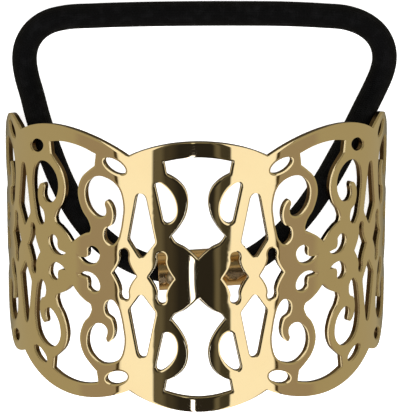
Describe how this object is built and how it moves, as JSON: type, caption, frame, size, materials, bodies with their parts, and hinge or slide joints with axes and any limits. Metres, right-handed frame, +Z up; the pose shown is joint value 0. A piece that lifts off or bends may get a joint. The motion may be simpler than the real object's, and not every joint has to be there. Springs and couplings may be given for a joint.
{
  "type": "ponytail cuff",
  "caption": "Ponytail cuff: a curved plate of pale gold metal, pierced with scrolls and flowers, lying on its ends, with a black elastic loop gripped in a tube behind it.",
  "frame": {"origin": "on the ground, midway between the two ends that the plate rests on, under the middle of its height", "axes": "+X across the plate from one resting end to the other, +Y along the plate's height towards the free bow of the elastic, +Z up to the top of the plate's curve"},
  "size_m": [0.0633, 0.0597, 0.029],
  "materials": {
    "gold": "polished pale gold plating",
    "elastic": "smooth knitted black elastic"
  },
  "bodies": {
    "root": {"cuff": "gold", "elastic": "elastic"}
  },
  "joints": []
}
